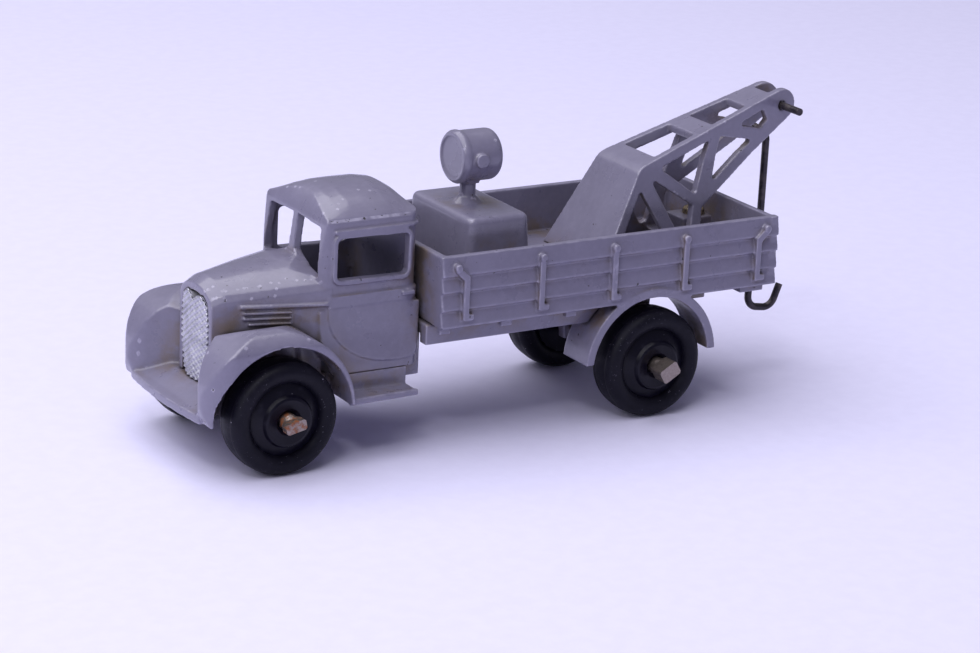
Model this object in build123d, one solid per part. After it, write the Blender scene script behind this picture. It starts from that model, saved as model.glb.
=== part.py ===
from build123d import *
import math
import os

# Toy tow truck: a die-cast lorry with a planked bed, searchlight box, lattice jib and wire hook.
# Units are millimetres. +X points to the front of the truck, +Y to its left side, +Z up.
# The origin is on the ground in the middle of the truck's overall length and width.

# ---------------------------------------------------------------- driving dimensions
FRONT_AXLE_X = 36.7
REAR_AXLE_X = -17.5
AXLE_Z = 7.3                       # also the tyre's outer radius, so the tyres touch the ground
AXLE_RADIUS = 1.1
FRONT_AXLE_END_Y = 15.8
REAR_AXLE_END_Y = 16.8
RUNNING_CLEARANCE = 0.06           # radial, axle in lug and wheel on axle

TYRE_RADIUS = AXLE_Z
TYRE_INNER_Y = 8.3
TYRE_OUTER_Y = 13.5
HUB_RADIUS = 4.7
HUB_FACE_Y = 12.6                  # where the hub meets the tyre's side
HUB_BOSS_RADIUS = 3.15
HUB_BOSS_Y = 13.9

BED_REAR_X = -36.15
BED_FRONT_X = 15.25
BED_HALF_WIDTH = 13.15
BED_TOP_Z = 25.45
BED_BOTTOM_Z = 16.15
BED_FLOOR_Z = 19.15
BED_FLOOR_THICKNESS = 1.15
BED_WALL = 1.0
PLANK_LAP = 0.42                   # how far a plank's lower edge stands proud of the next one
PLANK_EDGES_Z = (BED_TOP_Z, 22.9, 20.75, 18.4, BED_BOTTOM_Z)

REAR_ARCH_X = -16.9
REAR_ARCH_Z = 7.6
REAR_ARCH_OPENING = 8.9
REAR_ARCH_OUTER = 10.1
REAR_GUARD_INNER_Y = 7.3
REAR_GUARD_END_Z = 8.4

RAIL_HALF_SPAN = 10.4              # outer face of a chassis rail
RAIL_WIDTH = 1.6
RAIL_BOTTOM_Z = 13.4
RAIL_REAR_X = -26.8
RAIL_TAIL_Z = 14.6                 # underside of the rail behind the rear axle
PLATE_TOP_Z = BED_FLOOR_Z - BED_FLOOR_THICKNESS
PLATE_THICKNESS = 1.5
LUG_THICKNESS = 1.6
LUG_OUTER_Y = 7.2
LOW_PLATE_Z = 8.6                  # underside of the plate below the cab and bonnet
LOW_PLATE_TOP_Z = 9.65

WING_ARCH_X = 37.0
WING_ARCH_Z = 7.4
WING_ARCH_OPENING = 9.3
WING_HALF_WIDTH = 13.55
WING_WELL_INNER_Y = 7.6

CAB_REAR_X = 15.95
CAB_FRONT_X = 30.1                 # foot of the windscreen
CAB_HEADER_X = 29.25               # top of the windscreen
CAB_BASE_Z = 10.75
CAB_EAVES_Z = 30.5
CAB_ROOF_RISE = 2.65               # crown of the roof above its eaves
CAB_WALL = 1.0
CAB_HALF_WIDTH = 8.35              # above the waist
CAB_SILL_HALF_WIDTH = 9.5          # at the running board
CAB_FLARE_Z = 19.0                 # below this height the sides flare out to the sill
CAB_BELT_Z = 20.0
DOOR_FRONT_X = 28.8
WINDOW_CENTRE_X = 22.75
WINDOW_CENTRE_Z = 25.35
WINDOW_LENGTH = 10.05
WINDOW_HEIGHT = 5.35

GRILLE_X = 42.9
GRILLE_BOTTOM_Z = 9.6

BOX_FRONT_X = 8.7
BOX_REAR_X = -0.7
BOX_HALF_WIDTH = 8.0
BOX_TOP_Z = 28.3
LAMP_X = 4.4
LAMP_Z = 34.45
LAMP_RADIUS = 3.35
LAMP_FRONT_X = 7.0
LAMP_REAR_X = 0.9

JIB_TIP_X = -42.95
JIB_TIP_Z = 37.5
JIB_TIP_RADIUS = 2.2
JIB_HOLE_RADIUS = 0.58
JIB_FOOT_HALF_WIDTH = 6.7
JIB_BEND_HALF_WIDTH = 5.0
JIB_TIP_HALF_WIDTH = 2.65
JIB_PLATE = 1.15
JIB_BEND = (-18.9, 31.6)           # (x, z) of the corner between front plate and top chord
JIB_BEND_RADIUS = 2.4
JIB_FOOT = (-12.2, BED_FLOOR_Z)    # front edge of the front foot
JIB_REAR_FOOT_X = (-26.9, -28.6)   # front and rear edges of the rear leg at the floor
JIB_CHORD_SLOPE = 35.0             # degrees, lower chord

HOOK_WIRE_RADIUS = 0.5
HOOK_SHANK_X = -43.8
HOOK_SHANK_Y = -1.5

RIVET_RADIUS = 0.9
CAB_RIVET_X = (18.0, 33.6)
BED_RIVET_X = (11.0, -6.5)
JIB_RIVET_X = (-16.4, -31.4)
JIB_PAD_HEIGHTS = (1.5, 3.9)

SIDES = (1, -1)                    # left side, right side
BONNET_STATIONS = (
    (28.4, 8.5, 22.55, 24.75),
    (35.6, 6.65, 21.95, 23.75),
    (41.4, 4.95, 21.35, 22.75),
    (GRILLE_X, 4.4, 20.75, 21.8),
)


# ---------------------------------------------------------------- drawing helpers
def along_x(outline, x_from, x_to):
    """Extrude an outline drawn in (y, z) between two stations along X."""
    return extrude(Plane.YZ.offset(x_from) * outline, amount=x_to - x_from)


def along_y(outline, y_from, y_to):
    """Extrude an outline drawn in (x, z) between two stations along Y."""
    return extrude(Plane.XZ.offset(-y_to) * outline, amount=y_to - y_from)


def along_z(outline, z_from, z_to):
    """Extrude an outline drawn in (x, y) between two heights."""
    return extrude(Plane.XY.offset(z_from) * outline, amount=z_to - z_from)


def polygon(*points):
    """A straight-sided outline from its corners."""
    return make_face(Polyline(*points, close=True))


def block(x_from, x_to, y_from, y_to, z_from, z_to):
    """A box from its six faces."""
    size = (x_to - x_from, y_to - y_from, z_to - z_from)
    centre = ((x_from + x_to) / 2, (y_from + y_to) / 2, (z_from + z_to) / 2)
    return Pos(*centre) * Box(*size)


def rod(x, z, radius, y_from, y_to):
    """A round bar along Y."""
    return along_y(Pos(x, z) * Circle(radius), y_from, y_to)


def spun(profile, x, z):
    """Turn a closed (radius, y) profile about the Y axis and move it to an axle."""
    return Pos(x, 0, z) * revolve(polygon(*profile), Axis.Y)


def both_sides(shape):
    """A shape together with its mirror image on the other side of the truck."""
    return shape + mirror(shape, Plane.XZ)


# ---------------------------------------------------------------- wheels and axles
def tyre(x):
    """Solid rubber ring with rounded shoulders and a bulged outer side (left-hand wheel)."""
    middle = (TYRE_INNER_Y + TYRE_OUTER_Y) / 2
    shoulder = 1.5
    profile = make_face(
        [
            Line((HUB_RADIUS, TYRE_INNER_Y + 0.6), (HUB_RADIUS, HUB_FACE_Y)),
            ThreePointArc(
                (HUB_RADIUS, HUB_FACE_Y),
                (TYRE_RADIUS - shoulder, TYRE_OUTER_Y),
                (TYRE_RADIUS - 0.12, TYRE_OUTER_Y - shoulder),
            ),
            ThreePointArc(
                (TYRE_RADIUS - 0.12, TYRE_OUTER_Y - shoulder),
                (TYRE_RADIUS, middle),
                (TYRE_RADIUS - 0.12, TYRE_INNER_Y + shoulder),
            ),
            ThreePointArc(
                (TYRE_RADIUS - 0.12, TYRE_INNER_Y + shoulder),
                (TYRE_RADIUS - shoulder, TYRE_INNER_Y),
                (HUB_RADIUS, TYRE_INNER_Y + 0.6),
            ),
        ]
    )
    return Pos(x, 0, AXLE_Z) * revolve(profile, Axis.Y)


def hub(x):
    """Cast hub: drum, sloping face, raised boss and a countersunk axle bore (left-hand wheel)."""
    bore = AXLE_RADIUS + RUNNING_CLEARANCE
    sink = bore + 0.55
    profile = [
        (bore, TYRE_INNER_Y),
        (HUB_RADIUS, TYRE_INNER_Y),
        (HUB_RADIUS, HUB_FACE_Y),
        (HUB_BOSS_RADIUS + 0.25, HUB_FACE_Y + 0.75),
        (HUB_BOSS_RADIUS, HUB_BOSS_Y - 0.1),
        (HUB_BOSS_RADIUS - 0.3, HUB_BOSS_Y),
        (sink, HUB_BOSS_Y - 0.15),
        (bore, HUB_BOSS_Y - 0.7),
    ]
    return spun(profile, x, AXLE_Z)


def axle(x, end_y, flat, pinch_turn):
    """Steel axle; outside each wheel its end is pinched, to keep the wheel on.

    flat is the pinched end's half-thickness, and pinch_turn its angle in degrees."""
    start = HUB_BOSS_Y + 0.2
    pinched = start + 0.55
    sections = (
        Plane.XZ.offset(-start) * Circle(AXLE_RADIUS),
        Plane.XZ.offset(-pinched) * RectangleRounded(2.8, 2 * flat, 0.4),
    )
    tip = along_y(RectangleRounded(2.8, 2 * flat, 0.4), pinched, end_y)
    end = Rot(0, pinch_turn, 0) * (loft(sections) + tip)
    bar = along_y(Circle(AXLE_RADIUS), -start, start)
    return Pos(x, 0, AXLE_Z) * (bar + both_sides(end))


# ---------------------------------------------------------------- chassis casting
def wing_crown():
    """Side outline of a front wing's outer surface, from the running board round to the apron."""
    top = Spline(
        (27.3, 8.6),
        (28.0, 11.6),
        (30.6, 15.4),
        (34.4, 17.8),
        (38.4, 18.5),
        (42.0, 17.8),
        (44.9, 16.0),
        (46.6, 13.4),
        (47.3, 10.8),
        (47.1, 8.6),
    )
    return make_face([top, Polyline((47.1, 8.6), (46.5, 7.2), (27.3, 8.1), (27.3, 8.6))])


def wing_front_view():
    """Front outline of the left wing: low outer rim, crown, then down towards the bonnet."""
    rim = WING_HALF_WIDTH
    top = Spline((rim, 16.4), (12.9, 17.4), (11.9, 18.05), (10.4, 18.4), (8.6, 17.95), (6.9, 17.25),
    (3.6, 16.3))
    return make_face([top, Polyline((3.6, 16.3), (3.6, 6.8), (rim, 6.8), (rim, 16.4))])


def wing_plan():
    """Plan outline of the left wing: rounded outer front corner, inner flank swept to the grille."""
    rim = WING_HALF_WIDTH
    front = Spline(
        (rim, 44.0), (12.9, 45.6), (11.8, 46.8), (10.2, 47.3), (8.7, 46.5), (7.2, 44.4), (5.6, 42.2),
        (4.3, 40.6)
    )
    outline = [
        Line((4.3, 40.6), (3.6, 38.0)),
        Polyline((3.6, 38.0), (3.6, 27.0), (rim, 27.0), (rim, 44.0)),
    ]
    turned = make_face([front, *outline])
    return mirror(Rot(0, 0, 90) * turned, Plane.YZ)


def wheel_well():
    """Space cut for the left front wheel, open to the outside and below, closed in front by the skin."""
    inner = WING_WELL_INNER_Y
    outside = WING_HALF_WIDTH + 1
    well = rod(WING_ARCH_X, WING_ARCH_Z, WING_ARCH_OPENING, inner, outside)
    well += block(
        WING_ARCH_X - WING_ARCH_OPENING, WING_ARCH_X + WING_ARCH_OPENING - 0.6, inner, outside, 4.0,
        WING_ARCH_Z
    )
    plan = polygon(
        (26.0, inner), (43.3, inner), (45.3, 8.9), (46.1, 10.2), (46.1, 12.2), (49.0, 12.2),
        (49.0, outside), (26.0, outside),
    )
    return well & along_z(plan, 3.0, 20.0)


def front_wing():
    """Left front wing: crowned outside, its inner flank falling to the apron beside the grille."""
    solid = along_y(wing_crown(), 3.6, WING_HALF_WIDTH)
    solid &= along_x(wing_front_view(), 26.0, 49.0)
    solid &= along_z(wing_plan(), 6.0, 20.0)
    return solid


def apron():
    """Sloping apron plate between the wings, bowed forwards, with a turned-down front lip."""
    plan = make_face(
        [
            Line((40.0, -9.8), (40.0, 9.8)),
            Line((40.0, 9.8), (47.0, 9.8)),
            ThreePointArc((47.0, 9.8), (47.65, 0), (47.0, -9.8)),
            Line((47.0, -9.8), (40.0, -9.8)),
        ]
    )
    profile = polygon((40.0, 9.6), (43.2, 9.6), (46.3, 8.35), (48.0, 8.1), (48.0, 7.1), (40.0, 7.1))
    return along_z(plan, 6.5, 10.5) & along_y(profile, -10.0, 10.0)


def running_board():
    """Left running board and the valance that rises from it to the cab's lower edge."""
    sill = CAB_SILL_HALF_WIDTH
    plan = polygon((18.2, sill - 2), (17.8, 12.5), (28.2, 12.9), (28.2, sill - 2))
    board = along_z(plan, 7.95, 8.5)
    edge = polygon((17.8, 12.0), (17.8, 12.5), (28.2, 12.9), (28.2, 12.4))
    valance = block(18.0, 29.2, sill - 1.6, sill + 0.05, 7.95, CAB_BASE_Z)
    return board + along_z(edge, 7.75, 8.62) + valance


def chassis():
    """Front wings, apron, running boards, rails, base plates and axle lugs in one casting."""
    bore = AXLE_RADIUS + RUNNING_CLEARANCE
    plate_bottom = PLATE_TOP_Z - PLATE_THICKNESS
    rail = block(
        RAIL_REAR_X, CAB_REAR_X - 0.1, RAIL_HALF_SPAN - RAIL_WIDTH, RAIL_HALF_SPAN,
        RAIL_BOTTOM_Z, PLATE_TOP_Z,
    )
    rail_end = rail.edges().filter_by(Axis.Y).group_by(Axis.X)[0].group_by(Axis.Z)[0]
    left = front_wing() + running_board() + fillet(rail_end, 1.2)
    left -= block(RAIL_REAR_X - 1, REAR_AXLE_X, 5.0, 12.0, RAIL_BOTTOM_Z - 1, RAIL_TAIL_Z)
    for x in (FRONT_AXLE_X, REAR_AXLE_X):
        lug = polygon((x - 3.0, plate_bottom), (x - 2.1, 5.4), (x + 2.1, 5.4), (x + 3.0, plate_bottom))
        left += along_y(lug, LUG_OUTER_Y - LUG_THICKNESS, LUG_OUTER_Y)
    left -= wheel_well()
    left += along_y(
        Pos(FRONT_AXLE_X, AXLE_Z) * Circle(2.1), LUG_OUTER_Y - LUG_THICKNESS, LUG_OUTER_Y
    )
    guard_space = rod(REAR_ARCH_X, REAR_ARCH_Z, REAR_ARCH_OUTER, LUG_OUTER_Y + 0.02, 14.0)
    left -= guard_space - block(-40, 0, 0, 20, -5, 5)
    body = both_sides(left) + apron()
    body += block(
        RAIL_REAR_X, CAB_REAR_X - 0.1, 0.6 - RAIL_HALF_SPAN, RAIL_HALF_SPAN - 0.6, plate_bottom, PLATE_TOP_Z
    ) - both_sides(guard_space)
    body += block(12.8, CAB_REAR_X - 0.1, -9.0, 9.0, 14.6, plate_bottom + 0.1)
    body += block(CAB_REAR_X - 1.0, CAB_REAR_X - 0.1, -7.4, 7.4, LOW_PLATE_Z, 15.0)
    body += block(CAB_REAR_X - 1.0, 18.5, -7.4, 7.4, LOW_PLATE_Z, CAB_BASE_Z)
    body += block(18.0, 29.2, -CAB_SILL_HALF_WIDTH, CAB_SILL_HALF_WIDTH, LOW_PLATE_Z, CAB_BASE_Z)
    body += block(28.5, 41.5, -7.0, 7.0, LOW_PLATE_Z, LOW_PLATE_TOP_Z)
    room = both_sides(wheel_well())
    room += cab_outer(-0.02) + bonnet_outer(-0.02)
    room += block(BED_FRONT_X - BED_WALL - 0.05, CAB_REAR_X, -15, 15, BED_BOTTOM_Z - 0.03, 19.0)
    body -= room
    for x in (FRONT_AXLE_X, REAR_AXLE_X):
        body -= rod(x, AXLE_Z, bore, -12.0, 12.0)
    for x in CAB_RIVET_X:
        body -= Pos(x, 0, LOW_PLATE_Z) * Cylinder(RIVET_RADIUS, 8)
    for x in BED_RIVET_X:
        body -= Pos(x, 0, PLATE_TOP_Z) * Cylinder(RIVET_RADIUS, 8)
    for x in (*JIB_RIVET_X, LAMP_X):
        body -= Pos(x, 0, PLATE_TOP_Z) * Cylinder(2.2, 8)
    return body


# ---------------------------------------------------------------- cab casting
def roof_section(x, half_width, eaves_z, crown_z):
    """Cross-section of the cab above its waist: upright sides, small gutter bevel, crowned roof."""
    side_z = eaves_z - 0.5
    outline = [
        Polyline(
            (half_width - 0.5, eaves_z), (half_width, side_z), (half_width, CAB_FLARE_Z),
            (-half_width, CAB_FLARE_Z), (-half_width, side_z), (0.5 - half_width, eaves_z),
        ),
        ThreePointArc((0.5 - half_width, eaves_z), (0, crown_z), (half_width - 0.5, eaves_z)),
    ]
    return Plane.YZ.offset(x) * make_face(outline)


def cab_upper(inset):
    """The cab above the waist, its roof domed both ways."""
    rear = CAB_REAR_X + inset
    front = CAB_FRONT_X - inset
    half_width = CAB_HALF_WIDTH - inset
    eaves = CAB_EAVES_Z - inset
    middle = (rear + front) / 2
    sections = []
    for share in (-1.0, -0.94, -0.84, -0.68, -0.42, 0.0, 0.3, 0.55, 0.75, 0.88, 0.96, 1.0):
        fall = abs(share) ** (5 if share < 0 else 3)
        crown = eaves + 0.35 + (CAB_ROOF_RISE - 0.35) * (1 - fall)
        sections.append(roof_section(middle + share * (front - rear) / 2, half_width, eaves, crown))
    plan = RectangleRounded(front - rear, 2 * half_width, max(1.9 - inset, 0.7))
    return loft(sections, ruled=True) & along_z(Pos(middle, 0) * plan, CAB_FLARE_Z, 36.0)


def cab_lower(inset):
    """The cab below the waist, its sides flaring out to the running boards."""
    low = CAB_SILL_HALF_WIDTH - inset
    high = CAB_HALF_WIDTH - inset
    rear = CAB_REAR_X + inset
    front = CAB_FRONT_X - inset
    front_view = make_face(
        [
            Line((-low, CAB_BASE_Z), (low, CAB_BASE_Z)),
            Spline((low, CAB_BASE_Z), (low - 0.62, 14.2), (high, CAB_FLARE_Z), tangents=((-0.1, 1), (0,
            1))),
            Line((high, CAB_FLARE_Z), (-high, CAB_FLARE_Z)),
            Spline((-high, CAB_FLARE_Z), (0.62 - low, 14.2), (-low, CAB_BASE_Z), tangents=((0, -1),
            (-0.1, -1))),
        ]
    )
    plan = RectangleRounded(front - rear, 2 * low, max(1.9 - inset, 0.7))
    column = along_z(Pos((front + rear) / 2, 0) * plan, CAB_BASE_Z, CAB_FLARE_Z)
    return column & along_x(front_view, rear - 1, front + 1)


def cab_outer(inset):
    """The cab's solid outline, drawn in by an inset on every face but the base."""
    rear = CAB_REAR_X + inset
    front = CAB_FRONT_X - inset
    header = CAB_HEADER_X - inset
    brow_z = CAB_EAVES_Z - 0.7 - inset
    side_view = make_face(
        [
            Polyline((rear, CAB_BASE_Z), (front, CAB_BASE_Z), (front, 22.9), (header, brow_z)),
            ThreePointArc((header, brow_z), (header - 1.0, brow_z + 2.0), (header - 4.0, brow_z + 3.8)),
            Line((header - 4.0, brow_z + 3.8), (header - 4.5, 36.0)),
            Line((header - 4.5, 36.0), (rear + 3.0, 36.0)),
            Line((rear + 3.0, 36.0), (rear + 2.2, brow_z + 3.3)),
            ThreePointArc((rear + 2.2, brow_z + 3.3), (rear + 0.7, brow_z + 2.4), (rear, brow_z + 1.1)),
            Line((rear, brow_z + 1.1), (rear, CAB_BASE_Z)),
        ]
    )
    return (cab_lower(inset) + cab_upper(inset)) & along_y(side_view, -15, 15)


def bonnet_section(x, half_width, ridge_z, crown_z, floor_z):
    """Cross-section of the bonnet: upright sides, a soft ridge and a crowned top."""
    ridge = half_width - 0.6
    outline = [
        Line((-half_width, floor_z), (half_width, floor_z)),
        Line((half_width, floor_z), (half_width, ridge_z - 0.9)),
        Line((half_width, ridge_z - 0.9), (ridge, ridge_z)),
        ThreePointArc((ridge, ridge_z), (0, crown_z), (-ridge, ridge_z)),
        Line((-ridge, ridge_z), (-half_width, ridge_z - 0.9)),
        Line((-half_width, ridge_z - 0.9), (-half_width, floor_z)),
    ]
    return Plane.YZ.offset(x) * make_face(outline)


def bonnet_side_y(x):
    """Half-width of the bonnet's side at a station, by straight lines between the sections."""
    for (x_a, y_a, *_), (x_b, y_b, *_) in zip(BONNET_STATIONS, BONNET_STATIONS[1:]):
        if x_a <= x <= x_b:
            return y_a + (x - x_a) / (x_b - x_a) * (y_b - y_a)
    raise ValueError("station outside the bonnet")


def bonnet_outer(inset):
    """The bonnet's solid, tapering from the cab to the grille shell."""
    sections = []
    for x, half_width, ridge_z, crown_z in BONNET_STATIONS:
        sections.append(
            bonnet_section(x, half_width - inset, ridge_z - inset, crown_z - inset, LOW_PLATE_TOP_Z)
        )
    return loft(sections, ruled=True)


def grille_outline(grow):
    """Shield-shaped front outline of the grille in (y, z), grown by a margin."""
    g = grow
    half = [
        (0.0, 19.9 + g),
        (0.9, 20.55 + g),
        (2.1, 20.7 + g),
        (3.2 + g, 20.0 + g),
        (3.7 + g, 17.5),
        (3.6 + g, 14.0),
        (2.9 + g, 11.0),
        (2.0 + g, GRILLE_BOTTOM_Z - g),
    ]
    other = [(-y, z) for y, z in reversed(half[1:])]
    return polygon(*half, *other)


def door_panel():
    """Raised skin of the left door, its lower front edge swept back in a quarter ellipse."""
    sweep = Spline(
        (DOOR_FRONT_X, 18.4), (27.9, 15.5), (25.2, 13.1), (21.0, 11.95), (17.6, 12.0), (CAB_REAR_X, 12.5)
    )
    rest = Polyline(
        (CAB_REAR_X, 12.5), (CAB_REAR_X, CAB_BELT_Z - 0.7),
        (DOOR_FRONT_X, CAB_BELT_Z - 0.7), (DOOR_FRONT_X, 18.4),
    )
    return along_y(make_face([sweep, rest]), 5.0, 16.0)


def window_outline(grow):
    """Rounded door window opening in (x, z), grown by a margin."""
    rectangle = RectangleRounded(WINDOW_LENGTH + 2 * grow, WINDOW_HEIGHT + 2 * grow, 0.65 + grow)
    return Pos(WINDOW_CENTRE_X, WINDOW_CENTRE_Z) * Rot(0, 0, 1.0) * rectangle


def windscreen_pane():
    """Left pane of the divided windscreen in (y, z)."""
    pane = polygon((0.6, 29.55), (6.75, 29.25), (7.3, 22.95), (4.0, 23.6), (2.2, 24.3), (0.75, 25.0))
    return fillet(pane.vertices().sort_by(Axis.X)[-2:], 0.3)


def cab_mouldings():
    """Window frame, belt band and drip rail on the left side."""
    frame = along_y(window_outline(0.62) - window_outline(0.0), 5.0, 12.0)
    band = block(CAB_REAR_X, DOOR_FRONT_X, 5.0, 13.2, CAB_BELT_Z - 0.7, CAB_BELT_Z + 0.75)
    drip = block(CAB_REAR_X, 28.2, 5.0, 12.5, 28.75, 29.15)
    return frame + band + drip


def louvres():
    """Long bead and three louvre ribs on the left bonnet side."""
    bars = (
        (29.0, 39.6, 19.9, 0.42), (33.4, 39.2, 19.1, 0.36), (33.4, 39.2, 18.4, 0.36), (33.4, 38.6,
        17.7, 0.36),
    )
    ribs = []
    for x_from, x_to, z, height in bars:
        stand_out = 0.42
        depth = 0.5
        rear = bonnet_side_y(x_from)
        front = bonnet_side_y(x_to)
        plan = polygon(
            (x_from, rear - depth), (x_to, front - depth), (x_to, front + stand_out),
            (x_from, rear + stand_out),
        )
        ribs.append(along_z(plan, z - height / 2, z + height / 2))
    return ribs


def cab():
    """Hollow cab and bonnet casting with windows, door relief, louvres and grille recess."""
    skin = 0.22
    body = cab_outer(0.0) + bonnet_outer(0.0)
    panel = cab_outer(-skin) & door_panel()
    mouldings = cab_outer(-skin - 0.12) & cab_mouldings()
    handle = block(16.9, 18.7, 7.5, 9.1, CAB_BELT_Z + 0.0, CAB_BELT_Z + 0.55)
    for piece in (panel, mouldings, handle, *louvres()):
        body += both_sides(piece)
    body -= cab_outer(CAB_WALL) + bonnet_outer(CAB_WALL)
    body -= block(CAB_REAR_X + CAB_WALL, GRILLE_X - 2.6, -3.2, 3.2, 9.0, 12.0)
    body -= along_x(grille_outline(0.03), GRILLE_X - 1.33, GRILLE_X + 1)
    body -= along_y(window_outline(0.0), -16, 16)
    body -= both_sides(along_x(windscreen_pane(), CAB_FRONT_X - 2.4, CAB_FRONT_X + 3))
    body -= both_sides(wheel_well())
    rear_boss = block(CAB_REAR_X + 0.5, CAB_RIVET_X[0] + 1.8, -1.8, 1.8, CAB_BASE_Z, 15.0)
    front_boss = Pos(CAB_RIVET_X[1], 0, 16.3) * Cylinder(1.8, 2 * (16.3 - LOW_PLATE_TOP_Z))
    body += rear_boss + front_boss
    for x in CAB_RIVET_X:
        body -= Pos(x, 0, CAB_BASE_Z) * Cylinder(RIVET_RADIUS, 6)
    return body


def grille():
    """Plated radiator grille: a shallow V across, backed by a flat plate let into the shell."""
    plate = along_x(grille_outline(0.0), GRILLE_X - 1.3, GRILLE_X + 1.0)
    back = GRILLE_X - 1.3
    vee = polygon((back, -6), (GRILLE_X - 0.35, -6), (GRILLE_X + 0.3, 0), (GRILLE_X - 0.35, 6), (back, 6))
    return plate & along_z(vee, 9.0, 22.0)


# ---------------------------------------------------------------- bed casting
def planked_side_profile():
    """(y, z) outline of the left bed side: four planks, each lower edge proud of the next."""
    outer = []
    for upper, lower in zip(PLANK_EDGES_Z, PLANK_EDGES_Z[1:]):
        outer += [(BED_HALF_WIDTH - PLANK_LAP, upper), (BED_HALF_WIDTH, lower + 0.25)]
        outer += [(BED_HALF_WIDTH, lower)]
    inner = BED_HALF_WIDTH - PLANK_LAP - BED_WALL + 0.1
    return polygon((inner, BED_TOP_Z), *outer, (inner, BED_BOTTOM_Z))


def rib(x, lean):
    """One strake on the left bed side, with a stud at the top and a foot at the bottom.

    lean is how far the top of the strake bends forwards (negative for rearwards)."""
    y_in = BED_HALF_WIDTH - 0.6
    y_out = BED_HALF_WIDTH + 0.5
    if lean:
        path = polygon(
            (x - 0.42, 17.5), (x + 0.42, 17.5), (x + 0.42, 22.4), (x + lean + 0.42, 23.6),
            (x + lean, 24.35), (x - 0.42, 22.9),
        )
        if lean < 0:
            path = polygon(
                (x - 0.42, 17.5), (x + 0.42, 17.5), (x + 0.42, 22.9), (x + lean, 24.35),
                (x + lean - 0.42, 23.6), (x - 0.42, 22.4),
            )
    else:
        path = polygon((x - 0.42, 17.5), (x + 0.42, 17.5), (x + 0.42, 24.4), (x - 0.42, 24.4))
    bar = along_y(path, y_in, y_out)
    stud = rod(x + lean, 24.1, 0.5, y_in, y_out + 0.2)
    foot = block(x - 1.15, x + 0.42, y_in, y_out, 17.1, 17.9)
    return bar + stud + foot


def rear_guard():
    """Mudguard over the left rear wheel: a broad arch cast with the bed side."""
    arch = rod(REAR_ARCH_X, REAR_ARCH_Z, REAR_ARCH_OUTER, REAR_GUARD_INNER_Y, BED_HALF_WIDTH - 0.05)
    return arch - block(-30, 0, 0, 20, -5, REAR_GUARD_END_Z) - block(-30, 0, 0, 20, 18.6, 30)


def bed():
    """Planked open bed with headboard, tailboard, floor and rear mudguards, in one casting."""
    inner = BED_HALF_WIDTH - PLANK_LAP - BED_WALL + 0.1
    side = along_x(planked_side_profile(), BED_REAR_X, BED_FRONT_X)
    rib_stations = ((12.0, 1.3), (0.85, 0.0), (-10.15, 0.0), (-21.15, 0.0), (-32.75, -1.2))
    for x, lean in rib_stations:
        side += rib(x, lean)
    side += rear_guard()
    for x in (14.4, 5.4, -4.3):
        side += block(x - 0.8, x + 0.8, 11.9, 12.7, 15.4, 16.4)
    body = both_sides(side)
    body += block(BED_FRONT_X - BED_WALL, BED_FRONT_X, -inner - 0.2, inner + 0.2, BED_BOTTOM_Z, BED_TOP_Z)
    tail = []
    for upper, lower in zip(PLANK_EDGES_Z, PLANK_EDGES_Z[1:]):
        tail += [(BED_REAR_X + PLANK_LAP, upper), (BED_REAR_X, lower + 0.25), (BED_REAR_X, lower)]
    tail_face = polygon(
        (BED_REAR_X + BED_WALL + 0.2, BED_TOP_Z), *tail, (BED_REAR_X + BED_WALL + 0.2, BED_BOTTOM_Z)
    )
    body += along_y(tail_face, -BED_HALF_WIDTH + 0.2, BED_HALF_WIDTH - 0.2)
    for y in (-8.4, 0.0, 8.4):
        body += block(BED_REAR_X - 0.4, BED_REAR_X + 0.6, y - 0.42, y + 0.42, 17.5, 24.4)
    floor_top = BED_FLOOR_Z
    body += block(
        BED_REAR_X + 0.5, BED_FRONT_X - 0.5, -inner - 0.2, inner + 0.2,
        floor_top - BED_FLOOR_THICKNESS, floor_top,
    )
    body += block(-35.3, -31.6, -11.6, 11.6, 14.95, 18.2)
    opening = rod(REAR_ARCH_X, REAR_ARCH_Z, REAR_ARCH_OPENING, REAR_GUARD_INNER_Y - 1, 15)
    body -= both_sides(opening)
    for x in (*BED_RIVET_X, *JIB_RIVET_X, LAMP_X):
        body -= Pos(x, 0, BED_FLOOR_Z) * Cylinder(RIVET_RADIUS, 6)
    body -= Pos(JIB_RIVET_X[1], 0, PLATE_TOP_Z - 2) * Cylinder(1.6, 4)
    return body


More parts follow.
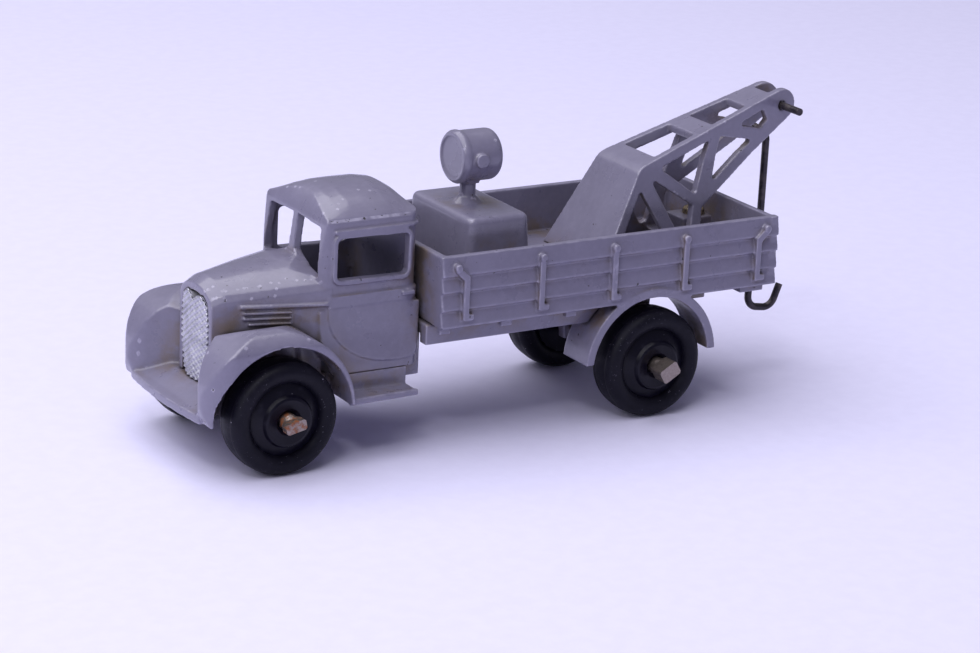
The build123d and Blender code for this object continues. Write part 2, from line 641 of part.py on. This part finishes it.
# ---------------------------------------------------------------- searchlight box
def lamp_box():
    """Equipment box with a searchlight on a short post, in one casting."""
    low = Plane.XY.offset(BED_FLOOR_Z) * Pos((BOX_FRONT_X + BOX_REAR_X) / 2, 0) * RectangleRounded(
        BOX_FRONT_X - BOX_REAR_X + 0.7, 2 * BOX_HALF_WIDTH + 0.3, 1.2
    )
    high = Plane.XY.offset(BOX_TOP_Z) * Pos((BOX_FRONT_X + BOX_REAR_X) / 2, 0) * RectangleRounded(
        BOX_FRONT_X - BOX_REAR_X - 0.6, 2 * BOX_HALF_WIDTH - 0.7, 1.0
    )
    shell = loft([low, high])
    shell = fillet(shell.edges().group_by(Axis.Z)[-1], 0.9)
    low_in = Plane.XY.offset(BED_FLOOR_Z - 0.1) * Pos((BOX_FRONT_X + BOX_REAR_X) / 2, 0) * Rectangle(
        BOX_FRONT_X - BOX_REAR_X - 1.6, 2 * BOX_HALF_WIDTH - 2.0
    )
    high_in = Plane.XY.offset(BOX_TOP_Z - 1.3) * Pos((BOX_FRONT_X + BOX_REAR_X) / 2, 0) * Rectangle(
        BOX_FRONT_X - BOX_REAR_X - 2.6, 2 * BOX_HALF_WIDTH - 3.0
    )
    shell -= loft([low_in, high_in])
    root_z = BOX_TOP_Z - 0.3
    flare = Pos(LAMP_X, 0, root_z + 0.5) * Cone(2.6, 1.15, 1.3)
    post = Pos(LAMP_X, 0, (root_z + LAMP_Z - 2) / 2) * Cylinder(1.05, LAMP_Z - 2 - root_z + 1.2)
    axis = Pos((LAMP_FRONT_X + LAMP_REAR_X) / 2, 0, LAMP_Z) * Rot(0, 90, 0)
    drum = axis * Cylinder(LAMP_RADIUS, LAMP_FRONT_X - LAMP_REAR_X)
    drum = fillet(drum.edges().group_by(Axis.X)[0], 1.0)
    drum = fillet(drum.edges().group_by(Axis.X)[-1], 0.45)
    rim = Pos(LAMP_FRONT_X - 0.75, 0, LAMP_Z) * Rot(0, 90, 0) * Cylinder(LAMP_RADIUS + 0.14, 0.7)
    rim = fillet(rim.edges(), 0.13)
    face = Pos(LAMP_FRONT_X, 0, LAMP_Z) * Rot(0, 90, 0) * Cylinder(LAMP_RADIUS - 0.6, 0.5)
    trunnion = rod(LAMP_X + 0.1, LAMP_Z + 0.1, 0.95, -LAMP_RADIUS - 0.55, LAMP_RADIUS + 0.55)
    web = block(LAMP_X - 0.8, LAMP_X + 0.8, -1.6, 1.6, LAMP_Z - 3.4, LAMP_Z - 2.4)
    stud = Pos(LAMP_X, 0, 22.5) * Cylinder(RIVET_RADIUS, 2 * (22.5 - PLATE_TOP_Z + 0.3))
    boss = Pos(LAMP_X, 0, (BED_FLOOR_Z + BOX_TOP_Z - 1) / 2) * Cylinder(1.8, BOX_TOP_Z - 1 - BED_FLOOR_Z)
    peened = Pos(LAMP_X, 0, PLATE_TOP_Z - 0.3) * Cylinder(1.5, 0.6)
    return shell + flare + post + drum + rim - face + trunnion + web + stud + boss + peened


# ---------------------------------------------------------------- lattice jib
def jib_half_width(x):
    """Outer half-width of the jib's upper part at a station along the truck."""
    span = JIB_BEND[0] - JIB_TIP_X
    share = (x - JIB_TIP_X) / span
    return JIB_TIP_HALF_WIDTH + share * (JIB_BEND_HALF_WIDTH - JIB_TIP_HALF_WIDTH)


def jib_side_outline():
    """Side outline (x, z) of the jib before its openings are cut."""
    top_turn = math.atan2(JIB_TIP_Z + JIB_TIP_RADIUS - JIB_BEND[1], JIB_BEND[0] - JIB_TIP_X)
    top = (JIB_TIP_X + JIB_TIP_RADIUS * math.sin(top_turn), JIB_TIP_Z + JIB_TIP_RADIUS * math.cos(top_turn))
    low_turn = math.radians(JIB_CHORD_SLOPE)
    low = (JIB_TIP_X - JIB_TIP_RADIUS * math.sin(low_turn), JIB_TIP_Z - JIB_TIP_RADIUS * math.cos(low_turn))
    leg_front, leg_rear = JIB_REAR_FOOT_X
    rim = [
        Polyline(top, JIB_BEND, JIB_FOOT, (leg_front, JIB_FOOT[1]), (leg_rear, JIB_FOOT[1]), (-29.3,
        25.2), low),
        ThreePointArc(low, (JIB_TIP_X - JIB_TIP_RADIUS, JIB_TIP_Z + 0.6), top),
    ]
    outline = make_face(rim)
    bend = outline.vertices().sort_by_distance(Vector(*JIB_BEND))[0]
    return fillet(bend, JIB_BEND_RADIUS)


def jib_openings():
    """Triangular openings of the side frames, drawn in (x, z), and the hook's pivot hole."""
    windows = (
        ((-35.3, 35.6), (-39.7, 37.3), (-40.5, 35.8), (-39.4, 34.7)),
        ((-32.4, 34.4), (-38.1, 33.3), (-31.0, 28.3)),
        ((-22.3, 31.2), (-30.6, 34.1), (-28.2, 27.1)),
        ((-20.5, 30.2), (-27.7, 25.7), (-27.0, 21.2), (-26.0, 20.8)),
        ((-18.9, 28.7), (-24.1, 20.4), (-14.6, 20.4)),
    )
    openings = [fillet(polygon(*corners).vertices(), 0.3) for corners in windows]
    return [*openings, Pos(JIB_TIP_X, JIB_TIP_Z) * Circle(JIB_HOLE_RADIUS)]


def jib_hollow():
    """Side view (x, z) of the space between the side frames, clear of the front and cross plates."""
    corner = -22.0
    space = polygon(
        (-50.0, 10.0), (JIB_FOOT[0] - 1.2, 10.0), (JIB_FOOT[0] - 1.2, JIB_FOOT[1]),
        (JIB_BEND[0] - 0.7, JIB_BEND[1] - 1.4), (corner, jib_top_z(corner) - 1.0), (corner, 45.0),
        (-50.0, 45.0),
    )
    for x_from, x_to in ((-31.6, -28.6), (-41.3, -37.2)):
        space -= polygon(
            (x_from, 46.0), (x_to, 46.0), (x_to, jib_top_z(x_to) - 1.0), (x_from, jib_top_z(x_from) - 1.0)
        )
    return space


def jib_envelope(inset):
    """Plan wedge that gives the jib its taper: wide at the foot, narrow at the tip."""
    sections = (
        Plane.XY.offset(JIB_FOOT[1] - 0.01) * wedge_plan(inset, JIB_FOOT_HALF_WIDTH - JIB_BEND_HALF_WIDTH),
        Plane.XY.offset(JIB_BEND[1]) * wedge_plan(inset, 0.0),
        Plane.XY.offset(42.0) * wedge_plan(inset, 0.0),
    )
    return loft(sections, ruled=True)


def wedge_plan(inset, grow):
    """Plan trapezium of the jib at one height, widened by grow."""
    end_x = JIB_TIP_X - 3.0
    front_x = -8.0
    end = jib_half_width(end_x) - inset + grow
    front = jib_half_width(front_x) - inset + grow
    return polygon((end_x, -end), (front_x, -front), (front_x, front), (end_x, end))


def jib():
    """Lattice jib: two tapering side frames joined by the front plate and top cross plates."""
    body = along_y(jib_side_outline(), -9, 9) & jib_envelope(0.0)
    for piece in jib_hollow().faces():
        body -= along_y(piece, -9, 9) & jib_envelope(JIB_PLATE)
    for opening in jib_openings():
        body -= along_y(opening, -9, 9)
    front_top, rear_top = (BED_FLOOR_Z + height for height in JIB_PAD_HEIGHTS)
    pads = block(-19.6, -13.2, -7.0, 7.0, BED_FLOOR_Z, front_top)
    pads += block(-29.6, -27.0, -7.0, 7.0, BED_FLOOR_Z, BED_FLOOR_Z + 1.15)
    pads += block(-33.0, -28.3, -2.2, 2.2, BED_FLOOR_Z, rear_top)
    body += pads & jib_envelope(0.1)
    for x in JIB_RIVET_X:
        body -= Pos(x, 0, BED_FLOOR_Z + 2) * Cylinder(RIVET_RADIUS, 6)
    return body


def jib_top_z(x):
    """Height of the jib's top edge at a station."""
    share = (JIB_BEND[0] - x) / (JIB_BEND[0] - JIB_TIP_X)
    return JIB_BEND[1] + share * (JIB_TIP_Z + JIB_TIP_RADIUS - JIB_BEND[1])


# ---------------------------------------------------------------- hook
def hook():
    """One bent wire: pivot through both jib tips, a curl round the right tip, shank and J hook."""
    y = HOOK_SHANK_Y
    x = HOOK_SHANK_X
    route = FilletPolyline(
        (JIB_TIP_X, 6.7, JIB_TIP_Z),
        (JIB_TIP_X, -5.0, JIB_TIP_Z),
        (JIB_TIP_X - 0.2, -5.2, 33.3),
        (x, y, 32.6),
        (x, y, 14.5),
        (x + 1.05, y, 12.0),
        (x + 1.1, y, 7.9),
        (x - 2.9, y, 7.3),
        (x - 4.15, y, 10.6),
        radius=(0.9, 1.1, 1.2, 3.0, 2.2, 1.7, 1.7),
    )
    wire = sweep(Plane(origin=route @ 0, z_dir=route % 0) * Circle(HOOK_WIRE_RADIUS), path=route)
    return wire


# ---------------------------------------------------------------- rivets
def rivets(stations, z_from, z_to, head_height):
    """Rivets along Z on the centre line: closing head below, domed head above where there is one."""
    group = []
    for x in stations:
        pin = Pos(x, 0, (z_from + z_to) / 2) * Cylinder(RIVET_RADIUS, z_to - z_from)
        pin += Pos(x, 0, z_from - 0.25) * Cylinder(1.5, 0.5)
        if head_height:
            head = Pos(x, 0, z_to + head_height / 2) * Cylinder(1.5, head_height)
            pin += fillet(head.edges().group_by(Axis.Z)[-1], head_height * 0.6)
        group.append(pin)
    return Compound(children=group)


def write(name, shape):
    """Write one node's solids to the parts folder."""
    export_step(shape, os.path.join("parts", name + ".step"))


def main():
    os.makedirs("parts", exist_ok=True)
    write("chassis", chassis())
    write("cab", cab())
    write("grille", grille())
    write("bed", bed())
    write("lamp_box", lamp_box())
    write("jib", jib())
    write("hook", hook())
    write("front_axle", axle(FRONT_AXLE_X, FRONT_AXLE_END_Y, 0.7, 12))
    write("rear_axle", axle(REAR_AXLE_X, REAR_AXLE_END_Y, 0.98, 30))
    write("cab_rivets", rivets(CAB_RIVET_X, LOW_PLATE_Z, CAB_BASE_Z + 3.0, 0.0))
    write("bed_rivets", rivets(BED_RIVET_X, PLATE_TOP_Z - PLATE_THICKNESS, BED_FLOOR_Z, 0.5))
    front_rivet, rear_rivet = (
        rivets((x,), PLATE_TOP_Z, BED_FLOOR_Z + height, 0.9)
        for x, height in zip(JIB_RIVET_X, JIB_PAD_HEIGHTS)
    )
    write("jib_rivets", Compound(children=[*front_rivet.solids(), *rear_rivet.solids()]))
    for end, x in (("front", FRONT_AXLE_X), ("rear", REAR_AXLE_X)):
        for side in SIDES:
            name = end + ("_left" if side == 1 else "_right")
            for piece, make in (("tyre", tyre), ("hub", hub)):
                shape = make(x)
                if side == -1:
                    shape = mirror(shape, Plane.XZ)
                write(piece + "_" + name, shape)


main()
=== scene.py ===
import bpy
import math
from mathutils import Matrix, Vector


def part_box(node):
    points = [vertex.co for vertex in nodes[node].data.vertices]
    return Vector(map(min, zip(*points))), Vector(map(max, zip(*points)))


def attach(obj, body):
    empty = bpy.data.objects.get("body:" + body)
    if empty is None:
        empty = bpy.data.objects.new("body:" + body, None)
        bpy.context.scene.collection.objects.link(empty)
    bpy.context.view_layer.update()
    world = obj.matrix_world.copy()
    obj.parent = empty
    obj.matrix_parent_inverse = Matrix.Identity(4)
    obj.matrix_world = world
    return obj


# Toy tow truck, seen from its front left: thick grey enamel castings on black rubber tyres.
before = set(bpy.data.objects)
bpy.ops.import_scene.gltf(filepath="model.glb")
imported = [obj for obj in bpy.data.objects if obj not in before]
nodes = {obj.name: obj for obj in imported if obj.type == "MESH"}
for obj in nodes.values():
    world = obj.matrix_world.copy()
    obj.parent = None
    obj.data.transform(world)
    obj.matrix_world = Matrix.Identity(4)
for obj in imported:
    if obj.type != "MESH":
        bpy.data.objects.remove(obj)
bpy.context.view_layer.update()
MM = 0.001

CASTINGS = ("chassis", "cab", "bed", "lamp_box", "jib")
VOXEL = {"chassis": 0.17, "cab": 0.14, "bed": 0.14, "lamp_box": 0.15, "jib": 0.15}
SMOOTHING_STEPS = {"chassis": 9, "cab": 5, "bed": 3, "lamp_box": 5, "jib": 4}

CAMERA_PLACE = (203.7, 327.9, 134.9)
CAMERA_AIM = (2.771, 4.368, 12.273)
CAMERA_ROLL = 2.739                # degrees, anticlockwise as the camera sees it
CAMERA_LENS = 113.58
SENSOR_WIDTH = 36.0
SHIFT = (0.0004, 0.0015)

BODY = "truck_body"
FLOOR_HALF_WIDTH = 2500
# Strongest darkening in corners: brown dirt together with painted shade.
DIRT_AND_SHADE_AMOUNT = 0.75


# ---------------------------------------------------------------- material helpers
class Shader:
    """A node material under construction: short calls that add a node and return its output."""

    def __init__(self, name):
        self.material = bpy.data.materials.new(name)
        self.material.use_nodes = True
        self.tree = self.material.node_tree
        self.bsdf = self.tree.nodes["Principled BSDF"]
        self.place = self.tree.nodes.new("ShaderNodeTexCoord").outputs["Object"]

    def link(self, source, target):
        self.tree.links.new(source, target)

    def put(self, node, inputs):
        for key, value in inputs.items():
            if isinstance(value, bpy.types.NodeSocket):
                self.link(value, node.inputs[key])
            else:
                node.inputs[key].default_value = value

    def noise(self, size_mm, detail=3.0, roughness=0.55):
        """Soft noise, 0 to 1, with blobs about size_mm across."""
        node = self.tree.nodes.new("ShaderNodeTexNoise")
        scale = 1.0 / (size_mm * MM)
        self.put(node, {"Vector": self.place, "Scale": scale, "Detail": detail, "Roughness": roughness})
        return node.outputs["Fac"]

    def band(self, value, low, high, start=0.0, end=1.0):
        """Turns a value between low and high into start to end, smoothly."""
        node = self.tree.nodes.new("ShaderNodeMapRange")
        node.interpolation_type = "SMOOTHSTEP"
        self.put(node, {"Value": value, "From Min": low, "From Max": high, "To Min": start, "To Max": end})
        return node.outputs["Result"]

    def maths(self, operation, a, b=0.0):
        node = self.tree.nodes.new("ShaderNodeMath")
        node.operation = operation
        node.use_clamp = operation in {"ADD", "MULTIPLY"}
        self.put(node, {0: a, 1: b})
        return node.outputs[0]

    def blend(self, share, first, second):
        """Colour mixed from first to second by share."""
        node = self.tree.nodes.new("ShaderNodeMix")
        node.data_type = "RGBA"
        self.put(node, {"Factor": share})
        for index, colour in ((6, first), (7, second)):
            if isinstance(colour, bpy.types.NodeSocket):
                self.link(colour, node.inputs[index])
            else:
                node.inputs[index].default_value = (*colour, 1.0)
        return node.outputs[2]

    def crevice(self, reach_mm, low=0.35, high=0.85):
        """1 in corners and gaps that are reach_mm across, 0 on open surfaces."""
        node = self.tree.nodes.new("ShaderNodeAmbientOcclusion")
        node.samples = 8
        self.put(node, {"Distance": reach_mm * MM})
        return self.band(node.outputs["AO"], low, high, 1.0, 0.0)

    def edges(self, low, high):
        """1 on outer edges and ridges, 0 on flat surfaces."""
        node = self.tree.nodes.new("ShaderNodeNewGeometry")
        return self.band(node.outputs["Pointiness"], low, high)

    def height(self, *layers):
        """Bumps from (height socket, depth in mm) pairs, one over the other."""
        normal = None
        for value, depth_mm in layers:
            node = self.tree.nodes.new("ShaderNodeBump")
            self.put(node, {"Height": value, "Distance": depth_mm * MM, "Strength": 1.0})
            if normal:
                self.link(normal, node.inputs["Normal"])
            normal = node.outputs["Normal"]
        self.link(normal, self.bsdf.inputs["Normal"])

    def set(self, **inputs):
        self.put(self.bsdf, {key.replace("_", " "): value for key, value in inputs.items()})

    def colour(self, socket):
        if isinstance(socket, bpy.types.NodeSocket):
            self.link(socket, self.bsdf.inputs["Base Color"])
        else:
            self.bsdf.inputs["Base Color"].default_value = (*socket, 1.0)


# ---------------------------------------------------------------- materials
def grey_enamel():
    """Thick semi-gloss lavender-grey enamel: orange peel, chips on edges, painted highlights on edges, brown
    dirt in corners with painted shade, painted shade in creases.
    """
    m = Shader("grey_enamel")
    cloud = m.noise(14.0, 4.0)
    mottle = m.noise(0.9, 4.0, 0.6)
    paint = m.blend(m.band(cloud, 0.3, 0.7), (0.170, 0.159, 0.230), (0.198, 0.186, 0.268))
    paint = m.blend(m.band(mottle, 0.35, 0.75, 0.0, 0.35), paint, (0.235, 0.221, 0.315))
    # Edges lighter in broken patches: partly rubbed paint, partly a painted highlight on convex edges.
    edge_wear_and_highlight = m.maths("MULTIPLY", m.edges(0.51, 0.57), m.band(m.noise(1.6, 3.0), 0.35, 0.6))
    paint = m.blend(m.maths("MULTIPLY", edge_wear_and_highlight, 0.6), paint, (0.46, 0.44, 0.57))
    patches = m.band(m.noise(3.2, 5.0, 0.6), 0.40, 0.62, 0.0, 0.85)
    dust = m.maths("MULTIPLY", m.crevice(5.0, 0.5, 0.97), patches)
    paint = m.blend(dust, paint, (0.175, 0.130, 0.095))
    # Dark brown dirt in corners and gaps, which also paints shade there: every crevice darkens at least a
    # little.
    dirt_and_corner_shade = m.maths("MULTIPLY", m.crevice(2.2), m.band(m.noise(2.4, 4.0), 0.38, 0.62, 0.2, DIRT_AND_SHADE_AMOUNT))
    paint = m.blend(dirt_and_corner_shade, paint, (0.085, 0.066, 0.052))
    # Painted shade: near-black lines in narrow creases, such as under the plank laps and louvres.
    crease_shade = m.maths("MULTIPLY", m.crevice(0.7, 0.5, 0.92), 0.75)
    paint = m.blend(crease_shade, paint, (0.050, 0.043, 0.050))
    specks = m.band(m.noise(0.75, 2.0, 0.5), 0.735, 0.765)
    nicks = m.maths("MULTIPLY", m.band(m.noise(0.55, 3.0, 0.6), 0.60, 0.66), m.edges(0.53, 0.60))
    chips = m.maths("MAXIMUM", specks, nicks)
    m.colour(m.blend(chips, paint, (0.030, 0.027, 0.030)))
    rough = m.band(m.noise(3.5, 4.0), 0.3, 0.7, 0.26, 0.38)
    rough = m.maths("ADD", rough, m.maths("MULTIPLY", dirt_and_corner_shade, 0.35))
    m.set(Roughness=m.maths("ADD", rough, m.maths("MULTIPLY", chips, 0.3)))
    m.set(Coat_Weight=0.45, Coat_Roughness=0.10)
    peel = m.noise(1.3, 2.0, 0.5)
    waviness = m.noise(4.5, 2.0, 0.5)
    m.height((waviness, 0.10), (peel, 0.022), (m.maths("SUBTRACT", 1.0, chips), 0.05))
    return m.material


def tyre_rubber():
    """Matt black rubber with pale dust specks and a dusty bloom."""
    m = Shader("dusty_tyre_rubber")
    bloom = m.band(m.noise(3.0, 5.0, 0.65), 0.42, 0.72, 0.0, 0.55)
    rubber = m.blend(bloom, (0.0040, 0.0036, 0.0095), (0.015, 0.014, 0.024))
    fine = m.band(m.noise(0.30, 3.0, 0.6), 0.66, 0.71)
    specks = m.maths("MULTIPLY", fine, m.band(m.noise(4.0, 3.0), 0.42, 0.60))
    grains = m.band(m.noise(0.42, 1.0, 0.5), 0.80, 0.83)
    m.colour(m.blend(m.maths("MAXIMUM", m.maths("MULTIPLY", specks, 0.45), grains), rubber, (0.30, 0.29, 0.36)))
    m.set(Roughness=m.band(bloom, 0.0, 0.6, 0.48, 0.70), Specular_IOR_Level=0.18)
    m.height((m.noise(0.5, 4.0, 0.6), 0.03), (m.noise(2.5, 2.0), 0.06))
    return m.material


def black_hub():
    """Glossy black wheel centre with a little dust."""
    m = Shader("black_hub_enamel")
    dust = m.band(m.noise(1.2, 5.0, 0.65), 0.50, 0.72, 0.0, 0.35)
    base = m.blend(dust, (0.0035, 0.0030, 0.0090), (0.017, 0.016, 0.030))
    grains = m.band(m.noise(0.30, 1.0, 0.5), 0.80, 0.83)
    m.colour(m.blend(grains, base, (0.25, 0.25, 0.28)))
    m.set(Roughness=m.band(dust, 0.0, 0.35, 0.30, 0.50), Specular_IOR_Level=0.20)
    m.height((m.noise(1.2, 3.0), 0.03))
    return m.material


def axle_metal(name, rust):
    """Steel bar end, from scuffed and bare to coppery with rust."""
    m = Shader(name)
    patches = m.band(m.noise(0.8, 5.0, 0.65), 0.62 - rust, 0.80 - rust)
    steel = m.blend(m.noise(0.35, 3.0), (0.20, 0.165, 0.150), (0.40, 0.345, 0.31))
    red = m.blend(m.noise(0.4, 4.0), (0.10, 0.030, 0.014), (0.42, 0.145, 0.050))
    m.colour(m.blend(patches, steel, red))
    m.set(Metallic=m.band(patches, 0.0, 1.0, 0.85, 0.25), Roughness=m.band(patches, 0.0, 1.0, 0.38, 0.68))
    m.height((m.noise(0.35, 4.0, 0.6), 0.06))
    return m.material


def hook_wire():
    """Dark drawn steel wire with paint and rust traces."""
    m = Shader("dark_steel_wire")
    tint = m.band(m.noise(1.5, 4.0), 0.35, 0.7)
    m.colour(m.blend(tint, (0.040, 0.036, 0.044), (0.105, 0.090, 0.092)))
    m.set(Metallic=0.7, Roughness=m.band(tint, 0.0, 1.0, 0.36, 0.55))
    m.height((m.noise(0.4, 3.0), 0.03))
    return m.material


def rivet_metal():
    """Scuffed brassy rivet metal, dark in its hollows."""
    m = Shader("rivet_metal")
    tint = m.noise(0.7, 4.0)
    m.colour(m.blend(m.band(tint, 0.35, 0.65), (0.11, 0.085, 0.065), (0.52, 0.42, 0.27)))
    m.set(Metallic=0.85, Roughness=m.band(tint, 0.3, 0.7, 0.32, 0.6))
    m.height((m.noise(0.45, 4.0), 0.08))
    return m.material


def grille_metal():
    """Bright stamped tinplate, with painted shade in the grooves."""
    m = Shader("bright_grille_metal")
    tint = m.band(m.noise(1.4, 3.0), 0.35, 0.7)
    base = m.blend(tint, (0.50, 0.50, 0.56), (0.66, 0.66, 0.72))
    # Painted shade: the grooves of the stamped pattern darkened to grey.
    m.colour(m.blend(m.crevice(0.4, 0.35, 0.8), base, (0.13, 0.13, 0.17)))
    m.set(Metallic=0.7, Roughness=m.band(tint, 0.0, 1.0, 0.34, 0.46))
    m.height((m.noise(0.5, 2.0), 0.008))
    return m.material


def floor_paper():
    """Matt pale paper, very slightly blue."""
    m = Shader("pale_floor")
    fibre = m.noise(2.5, 4.0)
    m.colour(m.blend(m.band(fibre, 0.3, 0.7), (0.735, 0.715, 0.93), (0.755, 0.735, 0.95)))
    m.set(Roughness=0.9)
    m.height((m.noise(0.8, 3.0), 0.02))
    return m.material


# ---------------------------------------------------------------- carried-over pieces
def dress(node, material):
    """Puts one material on a carried-over node."""
    mesh = nodes[node].data
    mesh.materials.clear()
    mesh.materials.append(material)


def soften(node, voxel_mm, steps):
    """Rounds a casting's edges as thick enamel does."""
    piece = nodes[node]
    for face in piece.data.polygons:
        face.use_smooth = True
    remesh = piece.modifiers.new("skin", "REMESH")
    remesh.mode = "VOXEL"
    remesh.voxel_size = voxel_mm * MM
    remesh.use_smooth_shade = True
    smooth = piece.modifiers.new("thick_paint", "SMOOTH")
    smooth.factor = 0.5
    smooth.iterations = steps


# ---------------------------------------------------------------- grille relief
def grille_relief():
    """Stamped skin over the grille's face: staggered rows of small bumps on both facets."""
    pitch_y, pitch_z = 1.15, 0.75
    step = 0.06
    depth = 0.30
    margin = 0.07
    shell = nodes["grille"]
    low, high = (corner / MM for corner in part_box("grille"))
    columns = math.ceil((high.y - low.y) / step)
    rows = math.ceil((high.z - low.z) / step)
    start = Vector((high.x + 2, 0, 0)) * MM

    def face_x(y, z):
        """Where the grille's front face is at (y, z), or None outside it."""
        hit, place, *_ = shell.ray_cast(Vector((start.x, y * MM, z * MM)), Vector((-1, 0, 0)))
        return place.x / MM if hit and place.x / MM > high.x - 0.9 else None

    def relief(y, z):
        """Height of the stamped pattern above the plate at (y, z)."""
        bumps = 0.5 + 0.5 * math.cos(math.tau * y / pitch_y) * math.cos(math.tau * z / pitch_z)
        return depth * bumps

    front, vertices = {}, []
    for i in range(columns + 1):
        for j in range(rows + 1):
            y, z = low.y + i * step, low.z + j * step
            x = face_x(y, z)
            around = (face_x(y + dy, z + dz) for dy in (-margin, margin) for dz in (-margin, margin))
            if x is None or None in around:
                continue
            front[i, j] = len(vertices)
            vertices.append((x + relief(y, z), y, z))
    faces = []
    for (i, j), corner in front.items():
        ring = [front.get(key) for key in ((i, j), (i + 1, j), (i + 1, j + 1), (i, j + 1))]
        if None not in ring:
            faces.append(ring)
    mesh = bpy.data.meshes.new("grille_hatching")
    mesh.from_pydata([Vector(v) * MM for v in vertices], [], faces)
    mesh.update()
    piece = bpy.data.objects.new("grille_hatching", mesh)
    bpy.context.scene.collection.objects.link(piece)
    for face in mesh.polygons:
        face.use_smooth = True
    solid = piece.modifiers.new("plate", "SOLIDIFY")
    solid.thickness = 0.3 * MM
    solid.offset = -1.0
    mesh.materials.append(materials["grille"])
    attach(piece, BODY)
    return piece


# ---------------------------------------------------------------- stage
def camera():
    """The photograph's viewpoint."""
    data = bpy.data.cameras.new("camera")
    data.lens = CAMERA_LENS
    data.sensor_width = SENSOR_WIDTH
    data.shift_x, data.shift_y = SHIFT
    data.clip_start, data.clip_end = 0.01, 10.0
    made = bpy.data.objects.new("camera", data)
    bpy.context.scene.collection.objects.link(made)
    place, aim = Vector(CAMERA_PLACE) * MM, Vector(CAMERA_AIM) * MM
    facing = (aim - place).to_track_quat("-Z", "Y").to_matrix().to_4x4()
    made.matrix_world = Matrix.Translation(place) @ facing @ Matrix.Rotation(math.radians(CAMERA_ROLL), 4, "Z")
    bpy.context.scene.camera = made


def softbox(name, place_mm, aim_mm, size_mm, watts, colour):
    """Rectangular area light aimed at a point."""
    data = bpy.data.lights.new(name, "AREA")
    data.shape = "RECTANGLE"
    data.size, data.size_y = (side * MM for side in size_mm)
    data.energy = watts
    data.color = colour
    made = bpy.data.objects.new(name, data)
    bpy.context.scene.collection.objects.link(made)
    place, aim = Vector(place_mm) * MM, Vector(aim_mm) * MM
    made.matrix_world = Matrix.Translation(place) @ (aim - place).to_track_quat("-Z", "Y").to_matrix().to_4x4()


def floor():
    """Large flat sheet under the truck."""
    half = FLOOR_HALF_WIDTH * MM
    corners = [(-half, -half, 0), (half, -half, 0), (half, half, 0), (-half, half, 0)]
    mesh = bpy.data.meshes.new("floor")
    mesh.from_pydata(corners, [], [(0, 1, 2, 3)])
    made = bpy.data.objects.new("floor", mesh)
    bpy.context.scene.collection.objects.link(made)
    mesh.materials.append(floor_paper())


def room_light(strength):
    """Even pale light from all round."""
    world = bpy.data.worlds.new("room")
    bpy.context.scene.world = world
    world.use_nodes = True
    background = world.node_tree.nodes["Background"]
    background.inputs["Color"].default_value = (0.80, 0.79, 1.0, 1.0)
    background.inputs["Strength"].default_value = strength


# ---------------------------------------------------------------- the scene
materials = {
    "enamel": grey_enamel(),
    "tyre": tyre_rubber(),
    "hub": black_hub(),
    "front_axle": axle_metal("rusty_axle_steel", 0.20),
    "rear_axle": axle_metal("bare_axle_steel", 0.02),
    "hook": hook_wire(),
    "rivet": rivet_metal(),
    "grille": grille_metal(),
}
for casting in CASTINGS:
    dress(casting, materials["enamel"])
    soften(casting, VOXEL[casting], SMOOTHING_STEPS[casting])
for end in ("front", "rear"):
    dress(f"{end}_axle", materials[f"{end}_axle"])
    for side in ("left", "right"):
        dress(f"tyre_{end}_{side}", materials["tyre"])
        dress(f"hub_{end}_{side}", materials["hub"])
dress("hook", materials["hook"])
dress("grille", materials["grille"])
for group in ("cab_rivets", "bed_rivets", "jib_rivets"):
    dress(group, materials["rivet"])
grille_relief()

camera()
floor()
room_light(0.24)
softbox("overhead", (200, -110, 620), (0, 0, 0), (960, 860), 6.4, (0.95, 0.94, 1.0))
softbox("left_window", (520, 250, 330), (0, 0, 20), (360, 260), 0.55, (0.95, 0.95, 1.0))
softbox("lamp", (300, 300, 500), (0, 0, 15), (120, 40), 0.45, (0.96, 0.95, 1.0))
bpy.context.scene.view_settings.view_transform = "Standard"

bpy.context.view_layer.update()
